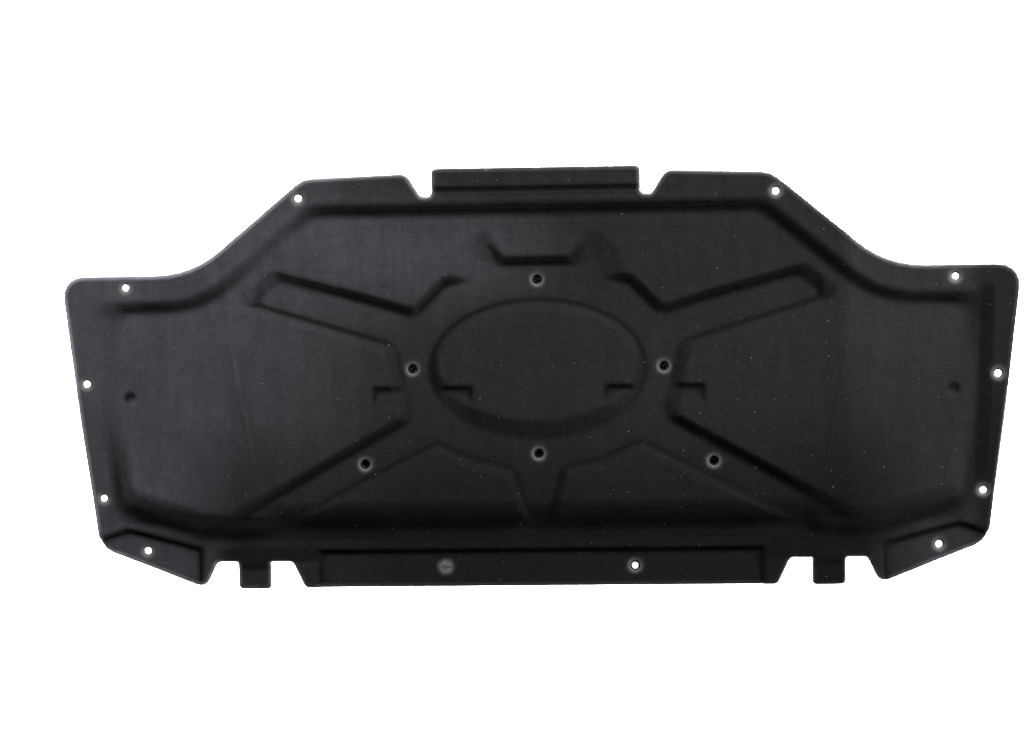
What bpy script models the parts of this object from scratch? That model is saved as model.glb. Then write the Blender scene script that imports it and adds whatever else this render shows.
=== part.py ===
"""Hood insulation pad: one sheet of moulded felt with pressed flanges, clip holes, raised pockets and folded tabs.

The pad lies face up: X to the right, Y towards its top edge, Z up, in metres. The origin is the middle of the
area that it covers, on the surface that it lies on. Its two halves mirror each other about X = 0.

The face is a height over each point of the outline. Four kinds of line shape it, and each is a pair of loops, one
where a wall starts and one where it ends: the wall between flange and panel, the channels between the pockets,
the oval pocket in the middle, and the low steps of the bottom flange and of the lobes beside it.
"""

from math import atan2, ceil, cos, hypot, pi, radians, sin, tan

import bmesh
import bpy
import numpy as np
from mathutils import Vector
from mathutils.geometry import delaunay_2d_cdt

# Outline, right half, from the centre line
TOP_TAB_HALF_WIDTH = 0.1295
TOP_TAB_Y = 0.2625
TOP_NOTCH_FLOOR = 0.0155
TOP_NOTCH_Y = 0.2275
TOP_SHOULDER_X = 0.163
TOP_SHOULDER_Y = 0.2568
TOP_CORNER_X = 0.2924
TOP_CORNER_Y = 0.2524
WING_BEND_X = 0.434
WING_TOP_Y = 0.1342
WING_CORNER_X = 0.6033
LOWER_CORNER_X = 0.560
LOWER_CORNER_Y = -0.210
LOBE_TIP_X = 0.425
LOBE_TIP_Y = -0.262
LOWER_NOTCH_Y = -0.2275
LOWER_NOTCH_OUTER_X = 0.409
LOWER_TAB_OUTER_X = 0.3815
LOWER_TAB_WIDTH = 0.0407
LOWER_TAB_Y = -0.2624
LOWER_NOTCH_INNER_X = 0.312
BOTTOM_EDGE_X = 0.296
BOTTOM_EDGE_Y = -0.261

# Corner radii of the outline
TAB_CORNER_RADIUS = 0.005
NOTCH_RADIUS = 0.008
NOTCH_ROOT_RADIUS = 0.003
SHOULDER_RADIUS = 0.014
TOP_CORNER_RADIUS = 0.030
WING_BEND_RADIUS = 0.130
WING_CORNER_RADIUS = 0.024
LOWER_CORNER_RADIUS = 0.028
LOBE_TIP_RADIUS = 0.014

# Flange widths, and how wide the wall is that leads from the flange to the panel
TOP_FLANGE_WIDTH = 0.0296
DIAGONAL_FLANGE_WIDTH = 0.026
WING_FLANGE_WIDTH = 0.0292
SIDE_FLANGE_WIDTH = 0.028
UPPER_WALL_RUN = 0.018
SIDE_WALL_RUN = 0.032
LOWER_WALL_RUN = 0.036
PANEL_CORNER_RADIUS = 0.020

# Foot of the panel's lower wall, above the bottom edge
LOWER_FOOT_HEIGHT = 0.073
LOWER_FOOT_JOG = 0.012
LOWER_FOOT_JOG_X = 0.335
LOWER_FOOT_BEND_X = 0.422
LOWER_FOOT_CORNER_HEIGHT = 0.098

# Thicknesses and levels of the face
FLANGE_THICKNESS = 0.003
PANEL_THICKNESS = 0.008
CHANNEL_THICKNESS = 0.005
LOW_FLANGE_STEP = 0.005
SIDE_FLANGE_RISE = 0.008
SIDE_FLANGE_FALL_Y = -0.020
PANEL_RISE = 0.022
PANEL_RISE_TOP_Y = 0.100
PANEL_RISE_LOW_Y = -0.150
PANEL_RISE_CURVE = 1.35

# The middle lies higher than the wings, from one bend line to the other
ARCH_RISE = 0.009
BEND_TOP_X = 0.392
BEND_TOP_Y = 0.065
BEND_LOW_X = 0.347
BEND_LOW_Y = -0.152
ARCH_END_X = 0.500

# Channels between the pockets: their depth, and how wide their walls are
CHANNEL_DEPTH_TOP = 0.007
CHANNEL_DEPTH_LOW = 0.009
CHANNEL_WALL_RUN = 0.011
CHANNEL_LIP_RUN = 0.008
CHANNEL_END_RUN = 0.016
CHANNEL_SOFT_RUN = 0.030

# Plan of the channels, right half: the notch above the ring, the two arms, and the stem below the ring
HORN_INNER = (0.062, 0.181)
HORN_OUTER_X = 0.084
RING_TOP = (0.043, 0.148)
UPPER_ARM_SHOULDER = (0.097, 0.128)
UPPER_ARM_KNEE = (0.118, 0.123)
UPPER_ARM_ROOT_TOP = (0.156, 0.085)
UPPER_ARM_MIDDLE_TOP = (0.224, 0.1055)
UPPER_ARM_TIP_TOP = (0.330, 0.1335)
UPPER_ARM_TIP_LOW = (0.376, 0.0995)
UPPER_ARM_ROOT_LOW = (0.186, 0.041)
LOWER_ARM_ROOT_TOP = (0.166, -0.0485)
LOWER_ARM_TIP_TOP = (0.371, -0.163)
LOWER_ARM_TIP_LOW = (0.300, -0.173)
LOWER_ARM_ROOT_LOW = (0.128, -0.084)
RING_LOW_MIDDLE = (0.083, -0.105)
RING_LOW = (0.034, -0.1165)
STEM_HALF_WIDTH = 0.014

# Oval pocket, at the foot and at the shoulder of its wall
OVAL_HALF_WIDTH = 0.136
OVAL_HALF_HEIGHT = 0.087
OVAL_Y = 0.012
OVAL_SIDE_RUN = 0.011
OVAL_TOP_RUN = 0.008
OVAL_LOW_RUN = 0.0225

# Recess that is pressed across each side of the ring, deepest at its top
RECESS_INNER_X = 0.081
RECESS_OUTER_X = 0.209
RECESS_TOP_Y = -0.0085
RECESS_HEIGHT = 0.030
RECESS_WALL_RUN = 0.005
RECESS_SHARE = 0.6

# Round dimple near each side wall
DIMPLE_EDGE_DISTANCE = 0.066
DIMPLE_Y = -0.019
DIMPLE_RADIUS = 0.009
DIMPLE_DEPTH = 0.003

# Folds of the tabs, from the tip of the top tab and from the floor of the lower notches
TOP_TAB_LENGTH = 0.026
TOP_TAB_RISE = 0.003
LOWER_TAB_ROOT = 0.001
LOWER_TAB_DROP = 0.004
TOP_FOLD_RUN = 0.0035
LOWER_FOLD_RUN = 0.008

# Steps of the bottom flange and of the lobes, from the edges beside them
STEP_RUN = 0.004
BOTTOM_STEP_HEIGHT = 0.0455
BOTTOM_STEP_BORDER = 0.017
LOBE_STEP_BORDER = 0.019
LOBE_STEP_INNER_HEIGHT = 0.0505
LOBE_STEP_OUTER_INSET = 0.036
LOBE_STEP_OUTER_HEIGHT = 0.023

# Clip holes, with the pressed ring round each
CLIP_HOLE_RADIUS = 0.005
CLIP_RING_RADIUS = 0.0115
CLIP_RING_DEPTH = 0.0012
CLIP_EDGE_DISTANCE = 0.0138
WING_HOLE_X = 0.5215
TOP_HOLE_X = 0.2987
SIDE_HOLE_UPPER_Y = -0.001
SIDE_HOLE_LOWER_Y = -0.1465
LOBE_HOLE_X = 0.5005
LOBE_HOLE_EDGE_DISTANCE = 0.0172
BOTTOM_HOLE_X = 0.1191
BOTTOM_HOLE_EDGE_DISTANCE = 0.0242
RING_HOLE_ABOVE_OVAL = 0.0252
RING_HOLE_BELOW_OVAL = 0.0196
RING_HOLE_BESIDE_OVAL = 0.0219
RING_HOLE_SIDE_Y = 0.0131
ARM_HOLE = (0.2179, -0.1056)

# Fineness of the mesh
FINE_ARC_STEP = radians(7)
ARC_STEP = radians(22)
LARGE_RADIUS = 0.05
HOLE_SIDES = 12
OVAL_SIDES = 40
WALL_LOOPS = (0.0, 0.2, 0.4, 0.6, 0.8, 1.0)
LOOP_STEP = 0.045
GRID_STEP = 0.040
MERGE_DISTANCE = 0.0002
CREASE_ANGLE = radians(12)

FELT_COLOUR = (0.021, 0.021, 0.024, 1.0)


def clear_scene():
    """Empties the scene that Blender starts with."""
    for thing in list(bpy.data.objects):
        bpy.data.objects.remove(thing, do_unlink=True)


def mirrored(right):
    """Closes a right half, given from top to bottom, with its mirror image. A corner is (x, y, radius)."""
    return right + [(-x, y, radius) for x, y, radius in reversed(right) if x > 0]


def rounded(corners):
    """Rounds each corner of a closed loop with an arc, and gives the loop's points."""
    points = []
    for index, (x, y, radius) in enumerate(corners):
        before = corners[index - 1]
        after = corners[(index + 1) % len(corners)]
        reach_in = hypot(before[0] - x, before[1] - y)
        reach_out = hypot(after[0] - x, after[1] - y)
        heading_in = atan2(y - before[1], x - before[0])
        heading_out = atan2(after[1] - y, after[0] - x)
        turn = (heading_out - heading_in + pi) % (2 * pi) - pi
        tangent = min(radius * abs(tan(turn / 2)), 0.48 * reach_in, 0.48 * reach_out)
        if tangent < MERGE_DISTANCE:
            points.append((x, y))
            continue
        bend_radius = tangent / abs(tan(turn / 2))
        step = FINE_ARC_STEP if radius > LARGE_RADIUS else ARC_STEP
        pieces = max(1, ceil(abs(turn) / step))
        side = 1 if turn > 0 else -1
        start_x = x - tangent * cos(heading_in)
        start_y = y - tangent * sin(heading_in)
        centre_x = start_x - side * bend_radius * sin(heading_in)
        centre_y = start_y + side * bend_radius * cos(heading_in)
        for piece in range(pieces + 1):
            heading = heading_in + turn * piece / pieces
            points.append((centre_x + side * bend_radius * sin(heading), centre_y - side * bend_radius * cos(heading)))
    return points


def inset(corners, distances):
    """Moves each edge of a clockwise loop inwards by its own distance. Edge i runs from corner i to the next."""
    lines = []
    for index, (x, y, _) in enumerate(corners):
        after = corners[(index + 1) % len(corners)]
        length = hypot(after[0] - x, after[1] - y)
        along = ((after[0] - x) / length, (after[1] - y) / length)
        shift = distances[index]
        lines.append(((x + along[1] * shift, y - along[0] * shift), along))
    moved = []
    for index, (_, _, radius) in enumerate(corners):
        (x1, y1), (u1, v1) = lines[index - 1]
        (x2, y2), (u2, v2) = lines[index]
        cross = u1 * v2 - v1 * u2
        if abs(cross) < 0.01:
            moved.append((x2, y2, radius))
            continue
        reach = ((x2 - x1) * v2 - (y2 - y1) * u2) / cross
        moved.append((x1 + u1 * reach, y1 + v1 * reach, radius))
    return moved


def divided(loop):
    """Adds points to a closed loop's long straight stretches."""
    points = []
    for index, start in enumerate(loop):
        end = loop[(index + 1) % len(loop)]
        pieces = max(1, ceil(hypot(end[0] - start[0], end[1] - start[1]) / LOOP_STEP))
        for piece in range(pieces):
            share = piece / pieces
            points.append((start[0] + (end[0] - start[0]) * share, start[1] + (end[1] - start[1]) * share))
    return points


def circle(x, y, radius, sides=HOLE_SIDES):
    """A round loop, flat side towards +X, so that it mirrors onto itself."""
    turns = [2 * pi * (side + 0.5) / sides for side in range(sides)]
    return [(x + radius * cos(turn), y + radius * sin(turn)) for turn in turns]


def outline_corners():
    """The sharp corners of the pad's edge, before they are rounded."""
    notch_end = TOP_TAB_HALF_WIDTH + TOP_NOTCH_FLOOR
    tab_inner = LOWER_TAB_OUTER_X - LOWER_TAB_WIDTH
    return mirrored(
        [
            (TOP_TAB_HALF_WIDTH, TOP_TAB_Y, TAB_CORNER_RADIUS),
            (TOP_TAB_HALF_WIDTH, TOP_NOTCH_Y, NOTCH_RADIUS),
            (notch_end, TOP_NOTCH_Y, NOTCH_RADIUS),
            (TOP_SHOULDER_X, TOP_SHOULDER_Y, SHOULDER_RADIUS),
            (TOP_CORNER_X, TOP_CORNER_Y, TOP_CORNER_RADIUS),
            (WING_BEND_X, WING_TOP_Y, WING_BEND_RADIUS),
            (WING_CORNER_X, WING_TOP_Y, WING_CORNER_RADIUS),
            (LOWER_CORNER_X, LOWER_CORNER_Y, LOWER_CORNER_RADIUS),
            (LOBE_TIP_X, LOBE_TIP_Y, LOBE_TIP_RADIUS),
            (LOWER_NOTCH_OUTER_X, LOWER_NOTCH_Y, NOTCH_RADIUS),
            (LOWER_TAB_OUTER_X, LOWER_NOTCH_Y, NOTCH_ROOT_RADIUS),
            (LOWER_TAB_OUTER_X, LOWER_TAB_Y, TAB_CORNER_RADIUS),
            (tab_inner, LOWER_TAB_Y, TAB_CORNER_RADIUS),
            (tab_inner, LOWER_NOTCH_Y, NOTCH_ROOT_RADIUS),
            (LOWER_NOTCH_INNER_X, LOWER_NOTCH_Y, NOTCH_RADIUS),
            (BOTTOM_EDGE_X, BOTTOM_EDGE_Y, NOTCH_RADIUS),
        ]
    )


def edge_frame():
    """The pad's edge without its notches and tabs: top, diagonal, wing top and side, as corners of the right half."""
    return [
        (TOP_CORNER_X, TOP_CORNER_Y, TOP_CORNER_RADIUS),
        (WING_BEND_X, WING_TOP_Y, WING_BEND_RADIUS),
        (WING_CORNER_X, WING_TOP_Y, PANEL_CORNER_RADIUS),
        (LOWER_CORNER_X, LOWER_CORNER_Y, PANEL_CORNER_RADIUS),
    ]


def flange_line():
    """Where the flange ends and the wall to the panel starts: the pad's edge, moved in by the flange's width."""
    frame = mirrored(edge_frame())
    widths = [DIAGONAL_FLANGE_WIDTH, WING_FLANGE_WIDTH, SIDE_FLANGE_WIDTH, 0.0]
    widths += [SIDE_FLANGE_WIDTH, WING_FLANGE_WIDTH, DIAGONAL_FLANGE_WIDTH, TOP_FLANGE_WIDTH]
    top, bend, wing, low = inset(frame, widths)[:4]
    side_slope = (wing[0] - low[0]) / (wing[1] - low[1])
    corner_y = BOTTOM_EDGE_Y + LOWER_FOOT_CORNER_HEIGHT
    corner_x = wing[0] + side_slope * (corner_y - wing[1])
    middle_y = BOTTOM_EDGE_Y + LOWER_FOOT_HEIGHT
    side_y = middle_y - LOWER_FOOT_JOG
    return mirrored(
        [
            top,
            bend,
            wing,
            (corner_x, corner_y, PANEL_CORNER_RADIUS),
            (LOWER_FOOT_BEND_X, side_y, LARGE_RADIUS),
            (LOWER_FOOT_JOG_X + LOWER_FOOT_JOG, side_y, PANEL_CORNER_RADIUS),
            (LOWER_FOOT_JOG_X - LOWER_FOOT_JOG, middle_y, PANEL_CORNER_RADIUS),
        ]
    )


def wall_loop(share):
    """A loop across the wall between flange and panel: 0 at the flange, 1 at the panel."""
    right = [UPPER_WALL_RUN, UPPER_WALL_RUN, SIDE_WALL_RUN]
    right += [LOWER_WALL_RUN] * 3
    runs = right + [LOWER_WALL_RUN] + right[::-1] + [UPPER_WALL_RUN]
    return rounded(inset(flange_line(), [run * share for run in runs]))


def channel_corners():
    """The middle line of the channel walls, right half from top to bottom: (x, y, radius, run of the wall after)."""
    wall, lip = CHANNEL_WALL_RUN, CHANNEL_LIP_RUN
    in_lower_wall = BOTTOM_EDGE_Y + LOWER_FOOT_HEIGHT + LOWER_WALL_RUN / 4
    return [
        (*RING_TOP, 0.0, wall),
        (*HORN_INNER, 0.0, wall),
        (HORN_OUTER_X, HORN_INNER[1], 0.0, CHANNEL_SOFT_RUN),
        (*UPPER_ARM_SHOULDER, 0.004, wall),
        (*UPPER_ARM_KNEE, 0.010, wall),
        (*UPPER_ARM_ROOT_TOP, 0.006, wall),
        (*UPPER_ARM_MIDDLE_TOP, 0.010, wall),
        (*UPPER_ARM_TIP_TOP, 0.008, CHANNEL_END_RUN),
        (*UPPER_ARM_TIP_LOW, 0.008, lip),
        (*UPPER_ARM_ROOT_LOW, 0.008, CHANNEL_END_RUN),
        (*LOWER_ARM_ROOT_TOP, 0.006, wall),
        (*LOWER_ARM_TIP_TOP, 0.010, wall),
        (LOWER_ARM_TIP_TOP[0] + 0.034, in_lower_wall, 0.0, wall),
        (LOWER_ARM_TIP_LOW[0] + 0.016, in_lower_wall, 0.0, lip),
        (*LOWER_ARM_TIP_LOW, 0.010, lip),
        (*LOWER_ARM_ROOT_LOW, 0.010, lip),
        (*RING_LOW_MIDDLE, 0.020, lip),
        (*RING_LOW, 0.006, lip),
        (STEM_HALF_WIDTH, in_lower_wall, 0.0, lip),
    ]


def channel_loop(side):
    """A loop along the channel walls: side 1 at the foot, inside the channel, and -1 at the shoulder."""
    right = channel_corners()
    corners = mirrored([corner[:3] for corner in right])
    runs = [corner[3] for corner in right]
    full = runs + runs[:-1][::-1] + [CHANNEL_WALL_RUN]
    return rounded(inset(corners, [side * run / 2 for run in full]))


def oval_loop(at_foot):
    """The oval pocket's loop, at the foot or at the shoulder of its wall."""
    half_width = OVAL_HALF_WIDTH if at_foot else OVAL_HALF_WIDTH - OVAL_SIDE_RUN
    half_height = OVAL_HALF_HEIGHT if at_foot else OVAL_HALF_HEIGHT - (OVAL_TOP_RUN + OVAL_LOW_RUN) / 2
    middle = OVAL_Y if at_foot else OVAL_Y + (OVAL_LOW_RUN - OVAL_TOP_RUN) / 2
    turns = [2 * pi * (side + 0.5) / OVAL_SIDES for side in range(OVAL_SIDES)]
    return [(half_width * cos(turn), middle + half_height * sin(turn)) for turn in turns]


def box_loop(low_x, high_x, low_y, high_y):
    """A clockwise rectangle."""
    return [(low_x, high_y), (high_x, high_y), (high_x, low_y), (low_x, low_y)]


def mirror_loop(loop):
    """The loop's mirror image on the left half."""
    return [(-x, y) for x, y in reversed(loop)]


def recess_loop(grow):
    """The recess across the right side of the ring, grown outwards by a distance."""
    low_y = RECESS_TOP_Y - RECESS_HEIGHT
    return box_loop(RECESS_INNER_X - grow, RECESS_OUTER_X + grow, low_y - grow, RECESS_TOP_Y + grow)


def low_flange_loops(grow):
    """The low areas of the bottom flange and of the two lobes, grown by a distance past their steps."""
    past_edge = LOBE_TIP_Y - CLIP_EDGE_DISTANCE
    past_side = LOWER_CORNER_X + LOBE_STEP_OUTER_INSET
    half_width = BOTTOM_EDGE_X - BOTTOM_STEP_BORDER + grow
    flange = box_loop(-half_width, half_width, past_edge, BOTTOM_EDGE_Y + BOTTOM_STEP_HEIGHT + grow)
    inner_x = LOWER_NOTCH_OUTER_X + LOBE_STEP_BORDER - grow
    lobe = [
        (inner_x, LOBE_TIP_Y + LOBE_STEP_INNER_HEIGHT + grow),
        (LOWER_CORNER_X - LOBE_STEP_OUTER_INSET + grow, LOWER_CORNER_Y + LOBE_STEP_OUTER_HEIGHT + grow),
        (past_side, LOWER_CORNER_Y),
        (past_side, past_edge),
        (inner_x, past_edge),
    ]
    return [flange, lobe, mirror_loop(lobe)]


def from_edge(start, end, distance, x=None, y=None):
    """The point at a distance inside the outline's edge from start to end, at a given x or y."""
    length = hypot(end[0] - start[0], end[1] - start[1])
    along = ((end[0] - start[0]) / length, (end[1] - start[1]) / length)
    base = (start[0] + along[1] * distance, start[1] - along[0] * distance)
    reach = (x - base[0]) / along[0] if y is None else (y - base[1]) / along[1]
    return (base[0] + along[0] * reach, base[1] + along[1] * reach)


def right_holes():
    """The clip holes of the right half."""
    top, bend, wing, low = edge_frame()
    lobe_tip = (LOBE_TIP_X, LOBE_TIP_Y)
    return [
        from_edge(bend, wing, CLIP_EDGE_DISTANCE, x=WING_HOLE_X),
        from_edge(top, bend, CLIP_EDGE_DISTANCE, x=TOP_HOLE_X),
        from_edge(wing, low, CLIP_EDGE_DISTANCE, y=SIDE_HOLE_UPPER_Y),
        from_edge(wing, low, CLIP_EDGE_DISTANCE, y=SIDE_HOLE_LOWER_Y),
        from_edge(low, lobe_tip, LOBE_HOLE_EDGE_DISTANCE, x=LOBE_HOLE_X),
        (OVAL_HALF_WIDTH + RING_HOLE_BESIDE_OVAL, RING_HOLE_SIDE_Y),
        ARM_HOLE,
        (BOTTOM_HOLE_X, BOTTOM_EDGE_Y + BOTTOM_HOLE_EDGE_DISTANCE),
    ]


def clip_places():
    """Every pressed ring: the right half's, the left half's and the two on the centre line."""
    right = right_holes()
    left = [(-x, y) for x, y in right]
    above = (0.0, OVAL_Y + OVAL_HALF_HEIGHT + RING_HOLE_ABOVE_OVAL)
    below = (0.0, OVAL_Y - OVAL_HALF_HEIGHT - RING_HOLE_BELOW_OVAL)
    return right + left + [above, below]


def clip_holes():
    """The places that are punched through. The bottom flange's left ring is pressed but not punched."""
    closed_ring = (-BOTTOM_HOLE_X, BOTTOM_EDGE_Y + BOTTOM_HOLE_EDGE_DISTANCE)
    return [place for place in clip_places() if place != closed_ring]


def dimple_place():
    """The middle of the right dimple."""
    _, _, wing, low = edge_frame()
    return from_edge(wing, low, DIMPLE_EDGE_DISTANCE, y=DIMPLE_Y)


def distance_to(loop, places):
    """Each place's distance to a closed loop."""
    starts = np.array(loop)
    spans = np.roll(starts, -1, axis=0) - starts
    offsets = places[:, None, :] - starts[None, :, :]
    lengths = (spans**2).sum(axis=1)
    share = np.clip((offsets * spans).sum(axis=2) / lengths, 0, 1)
    return np.sqrt(((offsets - share[:, :, None] * spans) ** 2).sum(axis=2)).min(axis=1)


def inside(loop, places):
    """Which places a closed loop holds."""
    starts = np.array(loop)
    ends = np.roll(starts, -1, axis=0)
    x, y = places[:, 0][:, None], places[:, 1][:, None]
    crosses = (starts[:, 1] > y) != (ends[:, 1] > y)
    rise = np.where(ends[:, 1] == starts[:, 1], 1.0, ends[:, 1] - starts[:, 1])
    where = starts[:, 0] + (y - starts[:, 1]) / rise * (ends[:, 0] - starts[:, 0])
    return (crosses & (x < where)).sum(axis=1) % 2 == 1


def share_between(outer, inner, places):
    """0 outside the outer loop, 1 inside the inner loop, and the way across from one to the other between them."""
    to_outer = distance_to(outer, places)
    to_inner = distance_to(inner, places)
    across = to_outer / np.maximum(to_outer + to_inner, 1e-9)
    across = np.where(inside(outer, places), across, 0.0)
    return np.where(inside(inner, places), 1.0, across)


def eased(share):
    """Rounds off both ends of a ramp."""
    return share * share * (3 - 2 * share)


def ramp(values, start, end):
    """0 at start and 1 at end, straight between them."""
    return np.clip((values - start) / (end - start), 0, 1)


def arch_level(x, y):
    """How much higher than the wings the middle lies."""
    slope = (BEND_TOP_X - BEND_LOW_X) / (BEND_TOP_Y - BEND_LOW_Y)
    bend_x = BEND_LOW_X + slope * (np.clip(y, BEND_LOW_Y, BEND_TOP_Y) - BEND_LOW_Y)
    return ARCH_RISE * np.clip((ARCH_END_X - np.abs(x)) / (ARCH_END_X - bend_x), 0, 1)


def channel_share(places):
    """How much of the channels' depth each place has: 0 on a pocket, 1 on a channel's floor."""
    x, y = places[:, 0], places[:, 1]
    channel = share_between(channel_loop(-1), channel_loop(1), places)
    near_horns = np.abs(x) < UPPER_ARM_SHOULDER[0]
    channel *= np.where(near_horns, ramp(-y, -HORN_INNER[1] - RECESS_WALL_RUN, -RING_TOP[1]), 1.0)
    channel *= 1 - share_between(oval_loop(True), oval_loop(False), places)
    fade = ramp(y, RECESS_TOP_Y - RECESS_HEIGHT, RECESS_TOP_Y - RECESS_WALL_RUN)
    for turn in (list, mirror_loop):
        recess = share_between(turn(recess_loop(0)), turn(recess_loop(-RECESS_WALL_RUN)), places)
        channel = np.maximum(channel, RECESS_SHARE * recess * fade)
    return channel


def tab_step(places):
    """How much higher the folds put the tabs than the flange behind them."""
    x, y = np.abs(places[:, 0]), places[:, 1]
    fold_y = TOP_TAB_Y - TOP_TAB_LENGTH
    on_top = x < TOP_TAB_HALF_WIDTH + MERGE_DISTANCE
    rise = TOP_TAB_RISE * on_top * ramp(y, fold_y, fold_y + TOP_FOLD_RUN)
    root_y = LOWER_NOTCH_Y - LOWER_TAB_ROOT
    middle = LOWER_TAB_OUTER_X - LOWER_TAB_WIDTH / 2
    on_low = np.abs(x - middle) < LOWER_TAB_WIDTH / 2 + MERGE_DISTANCE
    return rise - LOWER_TAB_DROP * on_low * ramp(-y, -root_y, LOWER_FOLD_RUN - root_y)


def pressed_rings(places):
    """How deep the rings round the clip holes are pressed."""
    depth = np.zeros(len(places))
    for x, y in clip_places():
        away = np.hypot(places[:, 0] - x, places[:, 1] - y)
        depth += CLIP_RING_DEPTH * (1 - ramp(away, CLIP_HOLE_RADIUS, CLIP_RING_RADIUS))
    return depth


def dimples(places):
    """How deep the dimples are."""
    x, y = dimple_place()
    away = np.hypot(np.abs(places[:, 0]) - x, places[:, 1] - y)
    return DIMPLE_DEPTH * (1 - ramp(away, DIMPLE_RADIUS / 2, DIMPLE_RADIUS))


def face_and_thickness(places):
    """The height of the pad's face, and the felt's thickness under it, at each place."""
    x, y = places[:, 0], places[:, 1]
    strip_level = FLANGE_THICKNESS + LOW_FLANGE_STEP
    fall = eased(ramp(-y, -SIDE_FLANGE_FALL_Y, -BOTTOM_EDGE_Y - LOWER_FOOT_HEIGHT))
    flange = strip_level + SIDE_FLANGE_RISE * (1 - fall)
    rise = ramp(-y, -PANEL_RISE_TOP_Y, -PANEL_RISE_LOW_Y)
    channel = channel_share(places)
    depth = CHANNEL_DEPTH_TOP + (CHANNEL_DEPTH_LOW - CHANNEL_DEPTH_TOP) * rise
    panel = PANEL_THICKNESS + PANEL_RISE * rise**PANEL_RISE_CURVE - depth * channel

    wall = share_between(wall_loop(0), wall_loop(1), places)
    face = flange + (panel - flange) * eased(wall)
    thickness = FLANGE_THICKNESS + (PANEL_THICKNESS - FLANGE_THICKNESS) * wall
    thickness -= (PANEL_THICKNESS - CHANNEL_THICKNESS) * wall * channel

    for outer, inner in zip(low_flange_loops(STEP_RUN / 2), low_flange_loops(-STEP_RUN / 2)):
        face -= LOW_FLANGE_STEP * share_between(outer, inner, places)
    rings = pressed_rings(places)
    face += arch_level(x, y) + tab_step(places) - dimples(places) - rings
    return face, thickness - rings


def fold_lines():
    """The straight folds across the tabs, and the lines where the side flanges start to fall, as open lines."""
    past = MERGE_DISTANCE * 10
    fold_y = TOP_TAB_Y - TOP_TAB_LENGTH
    top = TOP_TAB_HALF_WIDTH + past
    lines = [[(-top, y), (top, y)] for y in (fold_y, fold_y + TOP_FOLD_RUN)]
    root_y = LOWER_NOTCH_Y - LOWER_TAB_ROOT
    inner, outer = LOWER_TAB_OUTER_X - LOWER_TAB_WIDTH - past, LOWER_TAB_OUTER_X + past
    low_wall_y = BOTTOM_EDGE_Y + LOWER_FOOT_HEIGHT
    fall = [SIDE_FLANGE_FALL_Y + (low_wall_y - SIDE_FLANGE_FALL_Y) * share for share in WALL_LOOPS[:-1]]
    for side in (1, -1):
        lines += [[(side * inner, y), (side * outer, y)] for y in (root_y, root_y - LOWER_FOLD_RUN)]
        lines += [[(side * ARCH_END_X, y), (side * WING_CORNER_X, y)] for y in fall]
    return lines


def bend_lines():
    """The bend on each side, and the line where the arch has come down to the wing's level."""
    lines = []
    for side in (1, -1):
        bend = [(BEND_TOP_X, TOP_TAB_Y), (BEND_TOP_X, BEND_TOP_Y), (BEND_LOW_X, BEND_LOW_Y), (BEND_LOW_X, LOWER_TAB_Y)]
        lines.append([(side * x, y) for x, y in bend])
        lines.append([(side * ARCH_END_X, TOP_TAB_Y), (side * ARCH_END_X, LOBE_TIP_Y)])
    return lines


def shape_loops():
    """Every closed loop that the mesh follows, the outline first."""
    loops = [rounded(outline_corners())]
    loops += [wall_loop(share) for share in WALL_LOOPS]
    loops += [channel_loop(1), channel_loop(-1), oval_loop(True), oval_loop(False)]
    for grow in (0, -RECESS_WALL_RUN):
        loops += [recess_loop(grow), mirror_loop(recess_loop(grow))]
    loops += low_flange_loops(STEP_RUN / 2) + low_flange_loops(-STEP_RUN / 2)
    loops += [circle(x, y, CLIP_HOLE_RADIUS) for x, y in clip_holes()]
    loops += [circle(x, y, CLIP_RING_RADIUS) for x, y in clip_places()]
    x, y = dimple_place()
    for side in (1, -1):
        loops.append(circle(side * x, y, DIMPLE_RADIUS, 10))
        loops.append(circle(side * x, y, DIMPLE_RADIUS / 2, 6))
    return loops


def grid_points():
    """Loose points that keep the triangles even on the open parts of the panel."""
    columns = ceil(2 * WING_CORNER_X / GRID_STEP)
    rows = ceil(2 * TOP_TAB_Y / GRID_STEP)
    for column in range(columns):
        for row in range(rows):
            yield ((column + 0.5 - columns / 2) * GRID_STEP, (row + 0.5 - rows / 2) * GRID_STEP)


def triangulated():
    """The pad's plan as places and triangles, cut along every loop and line, without the holes."""
    points = []
    edges = []
    for loop in shape_loops():
        loop = divided(loop)
        first = len(points)
        points += loop
        edges += [(first + i, first + (i + 1) % len(loop)) for i in range(len(loop))]
    for line in fold_lines() + bend_lines():
        first = len(points)
        points += line
        edges += [(first + i, first + i + 1) for i in range(len(line) - 1)]
    points += list(grid_points())
    plan = [Vector(point) for point in points]
    found, _, faces, _, _, _ = delaunay_2d_cdt(plan, edges, [], 0, MERGE_DISTANCE)
    places = np.array([tuple(point) for point in found])
    faces = np.array([tuple(face) for face in faces])
    centres = places[faces].mean(axis=1)
    kept = inside(rounded(outline_corners()), centres)
    for x, y in clip_holes():
        kept &= ~inside(circle(x, y, CLIP_HOLE_RADIUS), centres)
    return places, faces[kept]


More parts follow.
